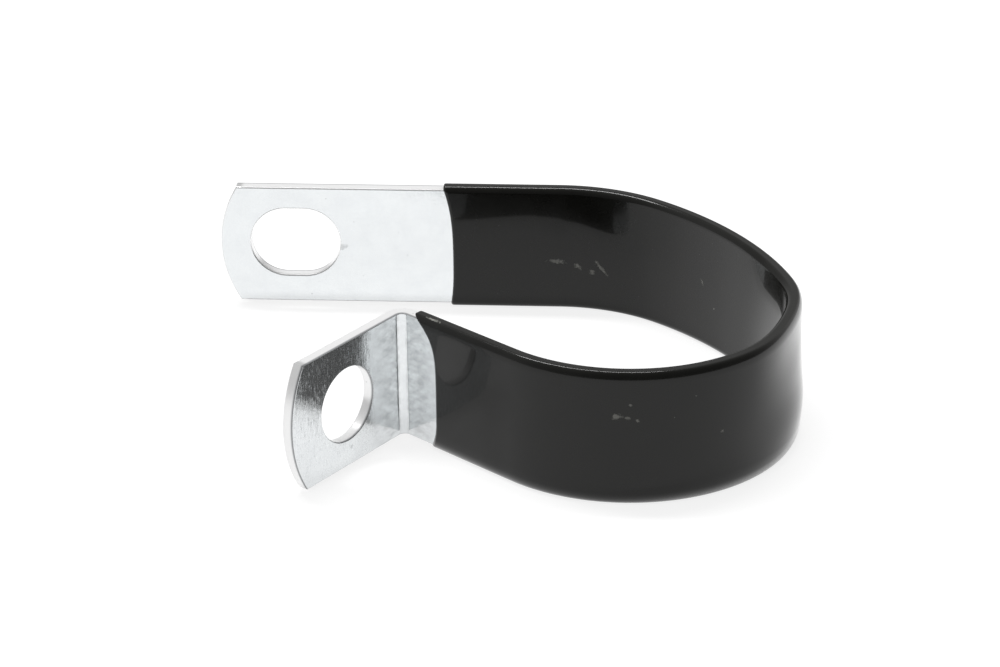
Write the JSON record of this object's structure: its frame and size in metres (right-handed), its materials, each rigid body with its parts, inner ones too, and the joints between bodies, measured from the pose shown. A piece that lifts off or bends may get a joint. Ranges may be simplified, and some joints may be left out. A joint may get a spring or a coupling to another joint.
{
  "type": "p clip",
  "caption": "Vinyl-dipped steel P clip, sprung open: flat tab with an adjusting slot, rounded loop for a cable or hose, and folded ear with a round bolt hole.",
  "frame": {"origin": "on the axis of the main bend, where the cable or hose seats, at half the steel band's width", "axes": "+Z along the loop's axis, upward as the clip lies on one long edge of its band; the tab points along -X and lies on the +Y side; the ear points to -X and -Y"},
  "size_m": [0.0589, 0.0436, 0.0134],
  "materials": {
    "zinc_steel": "bright zinc plate with fine lengthwise scratches and a faint mottle",
    "black_vinyl": "glossy dipped vinyl, smooth, with small scuffs"
  },
  "bodies": {
    "root": {"strap": "zinc_steel", "vinyl_coat": "black_vinyl"}
  },
  "joints": []
}
